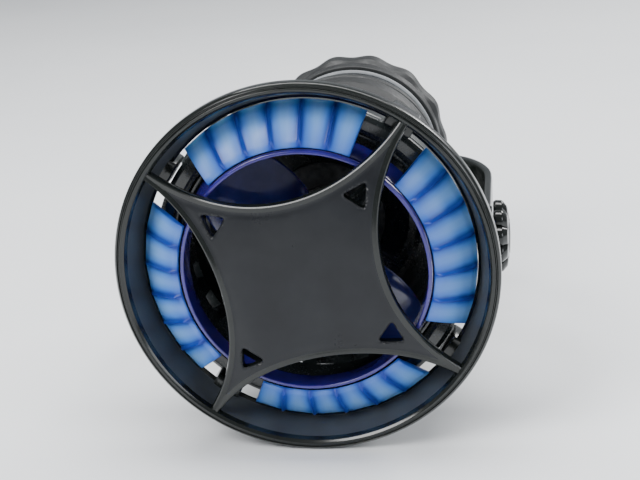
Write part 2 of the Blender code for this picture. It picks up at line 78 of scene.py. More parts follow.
# ------------------------------------------------------------------ materials
class Mat:
    """A Principled material and short helpers for its nodes."""

    def __init__(self, name, colour, rough, metal=0.0, **sockets):
        self.mat = bpy.data.materials.new(name)
        self.mat.use_nodes = True
        self.tree = self.mat.node_tree
        self.shader = self.tree.nodes["Principled BSDF"]
        self.shader.inputs["Base Color"].default_value = (*colour, 1.0)
        self.shader.inputs["Roughness"].default_value = rough
        self.shader.inputs["Metallic"].default_value = metal
        for key, value in sockets.items():
            self.shader.inputs[key.replace("_", " ")].default_value = value
        self.coord = self.tree.nodes.new("ShaderNodeTexCoord").outputs["Object"]
        self.bump_from = None

    def node(self, kind, inputs=None, **props):
        """New node; an input is a value or the socket to link from."""
        made = self.tree.nodes.new(kind)
        for key, value in props.items():
            setattr(made, key, value)
        for key, value in (inputs or {}).items():
            if isinstance(value, bpy.types.NodeSocket):
                self.tree.links.new(value, made.inputs[key])
            else:
                made.inputs[key].default_value = value
        return made

    def math(self, op, a, b=0.0, c=0.0):
        return self.node("ShaderNodeMath", {0: a, 1: b, 2: c}, operation=op).outputs[0]

    def noise(self, scale, detail=4.0, rough=0.55, vector=None, stretch=None):
        vector = vector or self.coord
        if stretch:
            vector = self.node("ShaderNodeMapping", {"Vector": vector, "Scale": stretch})
            vector = vector.outputs[0]
        made = self.node("ShaderNodeTexNoise", {"Vector": vector, "Scale": scale,
                                                "Detail": detail, "Roughness": rough})
        return made.outputs["Fac"]

    def ramp(self, value, stops):
        made = self.node("ShaderNodeValToRGB", {"Fac": value})
        band = made.color_ramp
        while len(band.elements) < len(stops):
            band.elements.new(0.5)
        for element, (at, colour) in zip(band.elements, stops):
            element.position = at
            element.color = (*colour, 1.0)
        return made.outputs["Color"]

    def span(self, value, low, high, to_low, to_high):
        made = self.node("ShaderNodeMapRange", {"Value": value, "From Min": low,
                                                "From Max": high, "To Min": to_low,
                                                "To Max": to_high})
        return made.outputs["Result"]

    def mix(self, fac, a, b, blend='MIX'):
        """Colour mix; the colour sockets are numbers 6 and 7 of the node."""
        made = self.node("ShaderNodeMix", data_type='RGBA', blend_type=blend)
        for index, value in ((0, fac), (6, a), (7, b)):
            if isinstance(value, bpy.types.NodeSocket):
                self.tree.links.new(value, made.inputs[index])
            elif index:
                made.inputs[index].default_value = (*value, 1.0)
            else:
                made.inputs[index].default_value = value
        return made.outputs[2]

    def colour(self, socket):
        self.tree.links.new(socket, self.shader.inputs["Base Color"])

    def rough(self, socket):
        self.tree.links.new(socket, self.shader.inputs["Roughness"])

    def bump(self, height, strength, distance):
        """One more layer of bump, stacked on the layers before it."""
        inputs = {"Height": height, "Strength": strength, "Distance": distance}
        if self.bump_from is not None:
            inputs["Normal"] = self.bump_from
        made = self.node("ShaderNodeBump", inputs)
        self.bump_from = made.outputs["Normal"]
        self.tree.links.new(self.bump_from, self.shader.inputs["Normal"])

    def edge_wear(self, base, worn, low=0.53, high=0.62):
        """Paler, slightly rubbed colour along raised edges."""
        point = self.node("ShaderNodeNewGeometry").outputs["Pointiness"]
        patchy = self.math('MULTIPLY', self.span(point, low, high, 0.0, 1.0),
                           self.span(self.noise(420.0, 3.0), 0.35, 0.7, 0.0, 1.0))
        return self.mix(patchy, base, worn)


def gloss_plastic(name, dark, light, rough, grain=0.10, shine=0.5, coat=0.2):
    """Smooth moulding with smears, fine grain and rubbed edges."""
    m = Mat(name, dark, rough, Coat_Weight=coat, Coat_Roughness=0.08, IOR=1.5)
    m.shader.inputs["Specular IOR Level"].default_value = shine
    tone = m.ramp(m.noise(95.0, 5.0), ((0.3, dark), (0.72, light)))
    worn = tuple(min(1.0, c * 1.8 + 0.008) for c in light)
    m.colour(m.edge_wear(tone, worn))
    smear = m.math('ADD', m.span(m.noise(60.0, 4.0), 0.3, 0.7, rough - 0.05, rough + 0.09),
                   m.span(m.noise(1500.0, 2.0), 0.45, 0.75, 0.0, 0.06))
    m.rough(smear)
    m.bump(m.noise(2600.0, 2.0), grain, 0.00004)
    m.bump(m.noise(130.0, 2.0), 0.10, 0.0004)
    return m


def matte_plastic(name, dark, light, rough, grain_scale=2400.0):
    """Textured moulding with fine pits."""
    m = Mat(name, dark, rough, IOR=1.46)
    tone = m.ramp(m.noise(70.0, 6.0), ((0.3, dark), (0.75, light)))
    worn = tuple(min(1.0, c * 2.0 + 0.03) for c in light)
    m.colour(m.edge_wear(tone, worn))
    m.rough(m.span(m.noise(800.0, 3.0), 0.3, 0.7, rough - 0.08, rough + 0.10))
    pits = m.node("ShaderNodeTexVoronoi", {"Vector": m.coord, "Scale": grain_scale})
    m.bump(pits.outputs["Distance"], 0.32, 0.00010)
    m.bump(m.noise(grain_scale * 0.4, 3.0), 0.2, 0.00012)
    return m


def rubber(name, dark, light, rough=0.75):
    """Dull rubber or silicone with a soft sheen."""
    m = Mat(name, dark, rough, Sheen_Weight=0.12, Sheen_Roughness=0.5)
    m.colour(m.ramp(m.noise(240.0, 5.0), ((0.32, dark), (0.7, light))))
    m.rough(m.span(m.noise(900.0, 3.0), 0.3, 0.7, rough - 0.08, rough + 0.12))
    m.bump(m.noise(3200.0, 3.0), 0.30, 0.00008)
    m.bump(m.noise(260.0, 2.0), 0.12, 0.0002)
    return m


def metal(name, dark, light, rough, stretch=(8.0, 900.0, 900.0)):
    """Bare metal; stretch draws its noise out into brush lines."""
    m = Mat(name, dark, rough, 1.0)
    lines = m.noise(4.0, 6.0, 0.7, stretch=stretch)
    m.colour(m.ramp(lines, ((0.3, dark), (0.7, light))))
    m.rough(m.span(lines, 0.3, 0.7, rough - 0.07, rough + 0.10))
    m.bump(lines, 0.15, 0.00003)
    return m


def polar(m):
    """Angle in degrees and radius in millimetres about the head's axis."""
    parts = m.node("ShaderNodeSeparateXYZ", {"Vector": m.coord})
    x, z = parts.outputs[0], parts.outputs[2]
    angle = m.math('MULTIPLY', m.math('ARCTAN2', z, x), 180.0 / math.pi)
    square = m.math('ADD', m.math('MULTIPLY', x, x), m.math('MULTIPLY', z, z))
    radius = m.math('MULTIPLY', m.math('SQRT', square), 1000.0)
    return angle, radius


def vane_material():
    """Clear blue plastic, deep along the ribs and pale in the panels."""
    m = Mat("blue_clear_vane", (0.10, 0.42, 0.95), 0.2, IOR=1.5,
            Transmission_Weight=0.25, Subsurface_Weight=0.35, Subsurface_Scale=0.004,
            Coat_Weight=0.0)
    m.shader.inputs["Specular IOR Level"].default_value = 0.30
    m.shader.inputs["Subsurface Radius"].default_value = (0.4, 0.8, 1.0)
    angle, radius = polar(m)
    off = m.math('ADD', angle, 45.0 - RING_TURN + 360.0)
    off = m.math('ABSOLUTE', m.math('SUBTRACT', m.math('MODULO', off, 90.0), 45.0))
    panel = m.math('PINGPONG', m.math('DIVIDE', off, RIB_PITCH), 0.5)
    wobble = m.math('MULTIPLY', m.math('SUBTRACT', m.noise(90.0, 3.0), 0.5), 0.22)
    panel = m.math('ADD', panel, wobble)
    stripes = m.ramp(panel, ((0.02, (0.010, 0.036, 0.26)), (0.10, (0.026, 0.11, 0.50)),
                             (0.21, (0.085, 0.29, 0.86)), (0.42, (0.21, 0.46, 1.0))))
    deep = m.span(radius, 27.5, 33.5, 0.7, 0.0)
    m.colour(m.mix(deep, stripes, (0.018, 0.065, 0.50)))
    m.rough(m.span(m.noise(300.0, 4.0), 0.3, 0.7, 0.30, 0.46))
    m.bump(m.noise(420.0, 3.0), 0.05, 0.0003)
    return m


def clear_plastic(name, deep, pale, rough, through, scale=110.0):
    """Tinted see-through plastic with flow marks."""
    m = Mat(name, deep, rough, IOR=1.5, Transmission_Weight=through,
            Subsurface_Weight=0.25, Subsurface_Scale=0.003, Coat_Weight=0.5,
            Coat_Roughness=0.05)
    m.colour(m.ramp(m.noise(scale, 4.0), ((0.3, deep), (0.7, pale))))
    m.rough(m.span(m.noise(300.0, 4.0), 0.3, 0.7, rough - 0.04, rough + 0.10))
    m.bump(m.noise(380.0, 3.0), 0.07, 0.0003)
    return m


def winding_material():
    """Enamelled wire, one band to a turn."""
    m = Mat("enamelled_winding", (0.6, 0.2, 0.06), 0.3, 0.9)
    wave = m.node("ShaderNodeTexWave", {"Vector": m.coord, "Scale": 900.0,
                                        "Distortion": 0.6}, bands_direction='Z')
    m.colour(m.ramp(wave.outputs["Fac"], ((0.1, (0.22, 0.06, 0.02)),
                                          (0.7, (0.75, 0.30, 0.10)))))
    m.bump(wave.outputs["Fac"], 0.6, 0.0002)
    return m


def laminate_material():
    """Edges of the stacked sheets in the stator."""
    m = Mat("laminated_core", (0.3, 0.3, 0.32), 0.4, 1.0)
    wave = m.node("ShaderNodeTexWave", {"Vector": m.coord, "Scale": 320.0,
                                        "Distortion": 0.2}, bands_direction='Y')
    m.colour(m.ramp(wave.outputs["Fac"], ((0.2, (0.08, 0.08, 0.09)),
                                          (0.6, (0.38, 0.38, 0.40)))))
    m.bump(wave.outputs["Fac"], 0.5, 0.0001)
    return m


GLOSS = gloss_plastic("dark_gloss_moulding", (0.0035, 0.0050, 0.0045), (0.008, 0.0102, 0.0092),
                      0.15, shine=0.42, coat=0.08)
CAP = gloss_plastic("slate_cap_moulding", (0.0088, 0.0098, 0.0120),
                    (0.0155, 0.0170, 0.0196), 0.30, shine=0.26, coat=0.0)
# Paler copy of the slate moulding: painted light for the hoop's inner wall, where little lamp
# light reaches.
PAINTED_LIGHT_WALL = gloss_plastic("slate_hoop_wall_painted_light", (0.030, 0.035, 0.041), (0.046, 0.053, 0.061), 0.34,
                     shine=0.3, coat=0.0)
SLATE = gloss_plastic("slate_cage_moulding", (0.0085, 0.0115, 0.0122),
                      (0.018, 0.023, 0.0245), 0.22)
BLACK = matte_plastic("black_textured_moulding", (0.0085, 0.0095, 0.0100),
                      (0.018, 0.0195, 0.0205), 0.50)
RUBBER = rubber("black_rubber", (0.012, 0.012, 0.013), (0.024, 0.024, 0.025))
SILICONE = rubber("grey_silicone", (0.15, 0.16, 0.17), (0.22, 0.23, 0.24), 0.6)
STEEL = metal("brushed_stainless", (0.42, 0.43, 0.45), (0.68, 0.69, 0.70), 0.26)
NICKEL = metal("nickel_plate", (0.46, 0.45, 0.42), (0.62, 0.61, 0.58), 0.22,
               (120.0, 120.0, 120.0))
FERRITE = matte_plastic("dark_ferrite", (0.035, 0.035, 0.038), (0.065, 0.063, 0.062), 0.5,
                        1500.0)
CERAMIC = gloss_plastic("white_ceramic", (0.70, 0.70, 0.67), (0.82, 0.82, 0.79), 0.14)
VANE = vane_material()
INDIGO = clear_plastic("indigo_clear", (0.014, 0.009, 0.15), (0.032, 0.020, 0.27), 0.12, 0.15)
BLADE = clear_plastic("blade_clear", (0.016, 0.019, 0.15), (0.050, 0.062, 0.27), 0.10, 0.35)
COPPER = winding_material()
CORE = laminate_material()


# ------------------------------------------------------------------- geometry
def head(s, r, deg):
    """Point on the head: s forward of the pivot, radius r, angle from +X."""
    a = math.radians(deg)
    return Vector((r * math.cos(a), PIVOT_Y - s, r * math.sin(a))) * MM


def about(centre, turn):
    """Placing rule for a shape turned about its own local Z axis."""
    place = Matrix.Translation(Vector(centre) * MM) @ turn

    def point(along, r, deg):
        a = math.radians(deg)
        return place @ (Vector((r * math.cos(a), r * math.sin(a), along)) * MM)
    return point


BASE = about((0, 0, 0), Matrix.Rotation(-QUARTER, 4, 'X'))


def tilt_axis(side):
    """Placing rule outward along the tilt axis: side 1 is +X, side -1 is -X."""
    return about((0, PIVOT_Y, 0), Matrix.Rotation(side * QUARTER, 4, 'Y'))


def screw_axis(turn):
    """Placing rule along one of the four cage screws."""
    spot = head(0, SCREW_R, 45.0 + 90.0 * turn) / MM
    return about((spot.x, PIVOT_Y, spot.z), Matrix.Rotation(QUARTER, 4, 'X'))


def fillet(points, default=0.3, steps=4):
    """Round the corners of a closed (along, radius) outline.

    A point may carry its own radius as a third value; points on the axis stay.
    """
    out = []
    total = len(points)
    for i, item in enumerate(points):
        p = Vector(item[:2])
        want = item[2] if len(item) > 2 else default
        a = Vector(points[i - 1][:2])
        b = Vector(points[(i + 1) % total][:2])
        if p.y < 1e-6 or want <= 0:
            out.append(tuple(p))
            continue
        to_a = a - p
        to_b = b - p
        bend = math.pi - to_a.angle(to_b, 0.0)
        if bend < 0.05:
            out.append(tuple(p))
            continue
        room = 0.46 * min(to_a.length, to_b.length)
        back = min(want * math.tan(bend / 2), room)
        start = p + to_a.normalized() * back
        stop = p + to_b.normalized() * back
        for k in range(steps + 1):
            t = k / steps
            q = start * (1 - t) ** 2 + p * 2 * t * (1 - t) + stop * t ** 2
            out.append(tuple(q))
    return out


def link(name, data):
    """Object of a mesh, lamp or camera, put in the scene."""
    obj = bpy.data.objects.new(name, data)
    bpy.context.scene.collection.objects.link(obj)
    return obj


def build(name, verts, faces, mat=None, body=None, nodes=(), sharp=35.0):
    """Mesh object from points and faces, ready to ride on its body."""
    mesh = bpy.data.meshes.new(name)
    mesh.from_pydata(verts, [], faces)
    bm = bmesh.new()
    bm.from_mesh(mesh)
    bmesh.ops.remove_doubles(bm, verts=bm.verts, dist=2e-6)
    bmesh.ops.recalc_face_normals(bm, faces=bm.faces)
    bm.to_mesh(mesh)
    bm.free()
    obj = link(name, mesh)
    soften(obj, sharp)
    if mat:
        mesh.materials.append(mat.mat)
    if body:
        settle(obj, body, nodes)
    return obj


def soften(obj, sharp=35.0):
    """Smooth shading, with edges steeper than an angle kept sharp."""
    obj.data.shade_smooth()
    obj.data.set_sharp_from_angle(angle=math.radians(sharp))


def settle(obj, body, nodes=()):
    """Ride on a body and stand in for CAD nodes."""
    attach(obj, body)
    if nodes:
        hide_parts(*nodes)


def turned_mesh(profile, count, point=head, swell=None):
    """Points and faces of a closed outline turned about an axis."""
    verts = []
    loops = []
    for along, radius in profile:
        if radius <= 1e-6:
            loops.append([len(verts)])
            verts.append(point(along, 0.0, 0.0))
            continue
        ring = []
        for k in range(count):
            deg = 360.0 * k / count
            grow = swell(along, radius, deg) if swell else 0.0
            ring.append(len(verts))
            verts.append(point(along, radius + grow, deg))
        loops.append(ring)
    faces = []
    for a, b in zip(loops, loops[1:] + loops[:1]):
        if len(a) == 1 and len(b) == 1:
            continue
        for k in range(count):
            n = (k + 1) % count
            if len(a) == 1:
                faces.append((a[0], b[k], b[n]))
            elif len(b) == 1:
                faces.append((a[k], b[0], a[n]))
            else:
                faces.append((a[k], b[k], b[n], a[n]))
    return verts, faces


def turned(name, profile, mat, body, nodes=(), count=128, point=head,
           round_by=0.3, swell=None, sharp=40.0):
    """Piece made by turning one outline with its corners rounded."""
    verts, faces = turned_mesh(fillet(profile, round_by), count, point, swell)
    return build(name, verts, faces, mat, body, nodes, sharp)


def shell_mesh(top, low, rows, cols):
    """Closed body between two matching grids of points."""
    verts = list(top) + list(low)
    half = len(top)
    faces = []
    for i in range(rows - 1):
        for j in range(cols - 1):
            a = i * cols + j
            quad = (a, a + 1, a + cols + 1, a + cols)
            faces.append(quad)
            faces.append(tuple(half + q for q in reversed(quad)))
    rim = list(range(cols))
    rim += [i * cols + cols - 1 for i in range(1, rows)]
    rim += [(rows - 1) * cols + j for j in range(cols - 2, -1, -1)]
    rim += [i * cols for i in range(rows - 2, 0, -1)]
    for n, a in enumerate(rim):
        b = rim[(n + 1) % len(rim)]
        faces.append((a, half + a, half + b, b))
    return verts, faces


def join(target, other, mode):
    """Boolean with the result applied; the other object is removed."""
    mod = target.modifiers.new("join", 'BOOLEAN')
    mod.operation = mode
    mod.solver = 'MANIFOLD'
    mod.object = other
    apply(target)
    bpy.data.objects.remove(other, do_unlink=True)


def apply(obj):
    """Bake an object's modifiers into its mesh."""
    graph = bpy.context.evaluated_depsgraph_get()
    mesh = bpy.data.meshes.new_from_object(obj.evaluated_get(graph))
    obj.modifiers.clear()
    obj.data = mesh


def bevel(obj, width, segments=2, angle=35.0):
    """Bevel modifier on edges steeper than an angle."""
    mod = obj.modifiers.new("edge", 'BEVEL')
    mod.width = width * MM
    mod.segments = segments
    mod.limit_method = 'ANGLE'
    mod.angle_limit = math.radians(angle)


def add_turned(target, profile, count, point, round_by=0.3, steps=3):
    """Join a turned shape with rounded corners to an object."""
    verts, faces = turned_mesh(fillet(profile, round_by, steps), count, point)
    join(target, build("turned_tool", verts, faces), 'UNION')


def drill_tool(start, stop, radius, count, point):
    """Plain cylinder along a placing rule's axis, to cut a hole with."""
    outline = [(start, 0), (start, radius), (stop, radius), (stop, 0)]
    verts, faces = turned_mesh(outline, count, point)
    return build("drill_tool", verts, faces)


def drill(target, start, stop, radius, count, point):
    """Cut a round hole along a placing rule's axis."""
    join(target, drill_tool(start, stop, radius, count, point), 'DIFFERENCE')


def box(name, size, place):
    """Box of a size in millimetres under a placing matrix."""
    bm = bmesh.new()
    scale = Matrix.Diagonal([v * MM for v in size] + [1.0])
    bmesh.ops.create_cube(bm, size=1.0, matrix=place @ scale)
    mesh = bpy.data.meshes.new(name)
    bm.to_mesh(mesh)
    bm.free()
    return link(name, mesh)


def block(name, size, s, r, deg):
    """Box standing on the head's circle; size is radial, axial, tangential."""
    turn = Matrix.Rotation(math.radians(-deg), 4, 'Y')
    return box(name, size, Matrix.Translation(head(s, r, deg)) @ turn)


def merge(objects, name):
    """One object from several, so that one Boolean cuts them all."""
    bm = bmesh.new()
    for obj in objects:
        bm.from_mesh(obj.data)
        bpy.data.objects.remove(obj, do_unlink=True)
    mesh = bpy.data.meshes.new(name)
    bm.to_mesh(mesh)
    bm.free()
    return link(name, mesh)


# ------------------------------------------------------------- wide-flow ring
# Stations of the guard's front: radius, and distance ahead of the tilt axis.
DOME = ((-9, CAP_S - 0.25), (0, CAP_S), (9, CAP_S - 0.25), (18, CAP_S - 1.0),
        (29, CAP_S - 3.4), (41, 23.0), (53, 20.8))


def dome(r):
    """Front face of the guard by radius, a smooth curve through its stations."""
    i = 1
    while i < len(DOME) - 3 and r > DOME[i + 1][0]:
        i += 1
    (ra, ha), (rb, hb), (rc, hc), (rd, hd) = DOME[i - 1:i + 3]
    t = min((r - rb) / (rc - rb), 1.0)
    slope_b = (hc - ha) / (rc - ra) * (rc - rb)
    slope_c = (hd - hb) / (rd - rb) * (rc - rb)
    return (hb * (2 * t ** 3 - 3 * t ** 2 + 1) + slope_b * (t ** 3 - 2 * t ** 2 + t)
            + hc * (3 * t ** 2 - 2 * t ** 3) + slope_c * (t ** 3 - t ** 2))


def nearest_edge(q):
    """Distance to the closest opening's edge, and the way into that opening."""
    best = 99.0
    way = None
    for k in range(4):
        a = math.radians(RING_TURN + 90.0 * k)
        line = Vector((AWAY * math.cos(a), AWAY * math.sin(a))) - q
        gap = line.length - BEND
        if gap < best:
            best = gap
            way = line.normalized()
    return best, way


def window_loop(turn, grow=1.0):
    """Rounded three-cornered outline at the root of an arm."""
    centre_r = 22.6
    corner_r = 3.35
    a = math.radians(RING_TURN + 45.0 + 90.0 * turn)
    out = Vector((math.cos(a), math.sin(a)))
    side = Vector((-math.sin(a), math.cos(a)))
    corners = []
    for k in range(3):
        t = math.radians(120.0 * k)
        corners.append(Vector((math.cos(t), math.sin(t))) * corner_r)
    loop = []
    for k, p in enumerate(corners):
        back = p.lerp(corners[k - 1], 0.2)
        ahead = p.lerp(corners[(k + 1) % 3], 0.2)
        for i in range(6):
            t = i / 5
            q = (back * (1 - t) ** 2 + p * 2 * t * (1 - t) + ahead * t * t) * grow
            loop.append(out * (centre_r + q.x) + side * q.y)
        far = corners[(k + 1) % 3].lerp(p, 0.2)
        for i in range(1, 5):
            q = ahead.lerp(far, i / 5) * grow
            loop.append(out * (centre_r + q.x) + side * q.y)
    return loop


def inside(loop, q):
    """Whether a point lies within a closed outline."""
    found = False
    for a, b in zip(loop, loop[1:] + loop[:1]):
        if (a.y > q.y) != (b.y > q.y):
            if q.x < a.x + (b.x - a.x) * (q.y - a.y) / (b.y - a.y):
                found = not found
    return found


def guard_web():
    """Four-armed guard: an even mesh in its outline, domed, with a rolled lip."""
    reach = HOOP_IN + 1.0
    widest = math.acos((AWAY ** 2 + BEND ** 2 - reach ** 2) / (2 * AWAY * BEND))
    points = []
    drops = []
    seams = []

    def add_points(group, drop=0.0, closed=False):
        """More points, each sunk by drop; closed keeps the edges between them."""
        first = len(points)
        points.extend(group)
        drops.extend([drop] * len(group))
        if closed:
            ids = list(range(first, len(points)))
            seams.extend(zip(ids, ids[1:] + ids[:1]))

    arcs = 84
    outline = []
    for k in range(4):
        a = math.radians(RING_TURN + 90.0 * k)
        e = Vector((math.cos(a), math.sin(a)))
        t = Vector((-math.sin(a), math.cos(a)))
        for i in range(arcs + 1):
            f = widest * (2.0 * i / arcs - 1.0)
            n = e * math.cos(f) - t * math.sin(f)
            outline.append((e * AWAY - n * BEND, n))
    add_points([p - n * LIP for p, n in outline], 0.0, True)
    end = min((p - n * LIP).length for p, n in outline[::arcs + 1])
    # Rows that follow the openings, then rings round the four windows.
    for depth in (0.78, 1.1, 1.5, 2.0, 2.6):
        row = [p - n * depth for p, n in outline]
        add_points([q for q in row
                    if nearest_edge(q)[0] > depth - 0.02 and q.length < end - 0.25])
    loops = [window_loop(turn) for turn in range(4)]
    for turn in range(4):
        add_points(loops[turn], 0.42, True)
        add_points(window_loop(turn, 1.09), 0.12)
        add_points(window_loop(turn, 1.2))
        add_points(window_loop(turn, 1.36))
    guards = [window_loop(turn, 1.55) for turn in range(4)]
    # Everything else is an even grid of triangles.
    step = 1.15
    for i in range(-36, 37):
        for j in range(-40, 41):
            q = Vector(((i + 0.5 * (j % 2)) * step, j * step * 0.866))
            if q.length > end - 0.6 or nearest_edge(q)[0] < 3.1:
                continue
            if not any(inside(loop, q) for loop in guards):
                add_points([q])
    flat, _, tris, origin, _, _ = delaunay_2d_cdt(points, seams, [], 0, 1e-5)
    kept = []
    for tri in tris:
        c = (flat[tri[0]] + flat[tri[1]] + flat[tri[2]]) / 3
        if nearest_edge(c)[0] < LIP + 0.008 or c.length > end - 0.01:
            continue
        if c.length < 30.0 and any(inside(loop, c) for loop in loops):
            continue
        kept.append(tuple(tri))
    verts = []

    def put(q, s):
        """Add a corner and return its number."""
        verts.append(Vector((q.x, PIVOT_Y - s, q.y)) * MM)
        return len(verts) - 1

    used = sorted({i for tri in kept for i in tri})
    top = {}
    low = {}
    for i in used:
        q = flat[i]
        gap = nearest_edge(q)[0] - LIP
        rise = 0.30 * math.exp(-(gap / 0.7) ** 2) - 0.10 * math.exp(-((gap - 1.5) / 0.4) ** 2)
        drop = drops[origin[i][0]] if origin[i] else 0.0
        top[i] = put(q, dome(q.length) + rise - drop)
        low[i] = put(q, dome(q.length) - GUARD_T)
    faces = []
    sides = {}
    for tri in kept:
        faces.append(tuple(top[i] for i in tri))
        faces.append(tuple(low[i] for i in reversed(tri)))
        for a, b in zip(tri, tri[1:] + tri[:1]):
            if (b, a) in sides:
                sides.pop((b, a))
            else:
                sides[(a, b)] = True
    # Side walls: a half-round lip at the openings, straight at the windows.
    chains = {}
    steps = 6
    for i in {i for pair in sides for i in pair}:
        q = flat[i]
        gap, way = nearest_edge(q)
        rolled = gap < LIP + 0.01
        high = verts[top[i]].y / MM
        deep = verts[low[i]].y / MM
        chain = [top[i]]
        for k in range(1, steps):
            turn = math.pi * k / steps
            out = LIP * math.sin(turn) if rolled else 0.0
            share = (1 - math.cos(turn)) / 2
            spot = q + way * out
            chain.append(put(spot, PIVOT_Y - (high + (deep - high) * share)))
        chain.append(low[i])
        chains[i] = chain
    for a, b in sides:
        for k in range(steps):
            faces.append((chains[a][k], chains[b][k], chains[b][k + 1], chains[a][k + 1]))
    return verts, faces


def wide_ring():
    """Hoop and guard in one piece, the throat ring and the four vanes."""
    hoop = [(24.0, 40.5, 0.35), (24.05, 41.0, 0.25), (23.6, 41.2, 0.1), (23.6, 41.4, 0.1),
            (23.95, 41.6, 0.2), (23.3, 42.2, 0.5), (22.4, 42.3, 0.4), (20.9, 42.3, 1.5),
            (17.6, 41.4, 0.15), (17.3, 41.12, 0.1), (16.8, 40.98, 0.1), (16.5, 41.1, 0.15),
            (15.0, 40.7, 0.3), (14.4, 40.2, 0.3), (14.4, 37.2, 0.15), (14.9, 37.2, 0.15),
            (15.4, 37.95, 0.3), (22.3, 39.6, 0.4), (23.5, 39.95, 0.3)]
    verts, faces = turned_mesh(fillet(hoop, 0.3, 3), 256)
    guard = build("visual_ring_guard", verts, faces, GLOSS)
    guard.data.materials.append(CAP.mat)
    guard.data.materials.append(PAINTED_LIGHT_WALL.mat)
    # Inward faces of the hoop's front wall take the paler slate copy: painted light in place of
    # the light that reaches them.
    wall_r = 39.65
    wall_back = 15.2
    for poly in guard.data.polygons:
        c = poly.center / MM
        inward = c.x * poly.normal.x + c.z * poly.normal.z < 0
        if inward and math.hypot(c.x, c.z) < wall_r and PIVOT_Y - c.y > wall_back:
            poly.material_index = PAINTED_LIGHT_INDEX
    verts, faces = guard_web()
    web = build("guard_web_tool", verts, faces, GLOSS)
    web.data.materials.append(CAP.mat)
    web.data.materials.append(PAINTED_LIGHT_WALL.mat)
    for poly in web.data.polygons:
        c = poly.center / MM
        gap = nearest_edge(Vector((c.x, c.z)))[0]
        if gap > LIP + 1.0 and poly.normal.y < -0.3:
            poly.material_index = CAP_INDEX
    join(guard, web, 'UNION')
    for turn in range(4):
        clip = block("clip_tool", (4.2, 7.6, 6.6), 12.4, 38.0, RING_TURN + 45.0 + 90.0 * turn)
        bevel(clip, 0.5, 3)
        join(guard, clip, 'UNION')
    soften(guard, 30.0)
    settle(guard, "wide_ring", ["ring_guard"])

    throat = [(22.9, 26.75, 0.3), (22.8, 27.5, 0.3), (22.0, 27.75, 0.3), (20.0, 27.5, 0.5),
              (14.4, 29.4, 0.3), (14.4, 28.1, 0.3), (18.0, 26.5, 1.0)]
    turned("visual_throat_ring", throat, INDIGO, "wide_ring", ["throat_ring"],
           224)
    for turn, word in enumerate(("right", "top", "left", "bottom")):
        vane(word, 90.0 * turn + RING_TURN)


def vane(word, middle):
    """One ribbed sector of the cone between throat and hoop."""
    cols = 169
    rows = 15
    throat_s, throat_r = 22.2, 28.0
    back, reach = 6.8, 8.8             # from the throat ring to the hoop
    normal_s, normal_r = 0.79, 0.61    # square to that cone
    rib_half = 0.62
    top = []
    low = []
    for i in range(rows):
        u = i / (rows - 1)
        s = throat_s - back * u
        r = throat_r + reach * u
        bow = 0.35 * math.sin(math.pi * u)
        for j in range(cols):
            off = -VANE_HALF + 2 * VANE_HALF * j / (cols - 1)
            near = abs((off + RIB_PITCH / 2) % RIB_PITCH - RIB_PITCH / 2)
            rib = math.exp(-(near / rib_half) ** 4) if abs(off) < RIB_STOP else 0.0
            hollow = 0.22 * (1 - math.cos(2 * math.pi * near / RIB_PITCH)) / 2
            edge = min(u, 1 - u) * (rows - 1)
            ends = min(j, cols - 1 - j)
            soft = 1.0 if edge >= 1 and ends >= 1 else 0.62
            height = (1.0 - hollow + bow) * soft + rib * (0.95 - 0.3 * u) * min(1.0, edge)
            low_t = 0.0 if soft == 1.0 else 0.12
            top.append(head(s + normal_s * height, r + normal_r * height, middle + off))
            low.append(head(s + normal_s * low_t, r + normal_r * low_t, middle + off))
    verts, faces = shell_mesh(top, low, rows, cols)
    build("visual_vane_" + word, verts, faces, VANE, "wide_ring", ["vane_" + word],
          50.0)


# ----------------------------------------------------------------------- cage
def cage():
    """Slotted drum round the propeller, with the two tilt lugs."""
    outline = [(13.9, 32.2, 0.5), (12.9, 31.0, 0.5), (4.4, 31.0, 0.1), (-4.2, 30.9, 0.5),
               (-6.6, 29.9, 0.1), (-7.0, 29.2, 0.1), (-8.8, 28.8, 0.1), (-9.2, 28.0, 0.1),
               (-11.2, 26.6, 0.1), (-11.6, 25.6, 0.1), (-13.6, 23.2, 0.1), (-14.0, 22.0, 0.1),
               (-15.4, 20.0, 0.6), (-16.0, 9.9, 0.2), (-18.0, 9.9, 0.2), (-18.0, 26.4, 0.4),
               (-16.4, 27.8, 1.5), (-13.0, 29.9, 2.5), (-8.2, 32.3, 1.0), (-7.8, 32.2, 0.1),
               (-7.4, 32.5, 0.1), (-3.1, 33.45, 0.05), (-3.0, 36.1, 0.2), (-2.6, 36.4, 0.2),
               (2.6, 36.4, 0.2), (3.0, 36.1, 0.1), (3.5, 35.5, 0.15), (10.9, 35.5, 0.1),
               (11.2, 35.3, 0.1), (11.6, 35.3, 0.1), (11.9, 35.5, 0.1), (13.1, 35.5, 0.5),
               (13.95, 34.4, 0.4)]
    verts, faces = turned_mesh(fillet(outline, 0.3, 3), 240)
    made = build("visual_cage", verts, faces, SLATE)
    for side in (-1, 1):
        lug = [(31.6, 0), (31.6, 4.6), (35.2, 5.4, 0.2), (35.4, 4.9, 0.1), (36.0, 4.9, 0.1),
               (36.2, 5.2, 0.2), (36.7, 4.9, 0.2), (36.7, 1.9, 0.2), (32.4, 1.9, 0.1),
               (32.4, 0)]
        add_turned(made, lug, 48, tilt_axis(side), 0.2, 2)
        drill(made, 32.4, 40.0, 1.9, 32, tilt_axis(side))
    slots = [block("cage_window_tool", (12.0, 6.4, 4.8), 0.0, 34.0, 15.0 * k)
             for k in range(24) if k not in (0, 12)]     # none under the lugs
    merged = merge(slots, "cage_windows_tool")
    bevel(merged, 0.45, 3, 30.0)
    join(made, merged, 'DIFFERENCE')
    screw_holes(made, -20.0)
    bevel(made, 0.22, 2, 50.0)
    apply(made)
    soften(made, 38.0)
    settle(made, "head", ["cage"])


def screw_holes(target, stop):
    """The four cage screws' holes through a flange, back as far as stop."""
    holes = [drill_tool(-14.0, stop, 1.4, 24, screw_axis(turn)) for turn in range(4)]
    join(target, merge(holes, "screw_holes_tool"), 'DIFFERENCE')


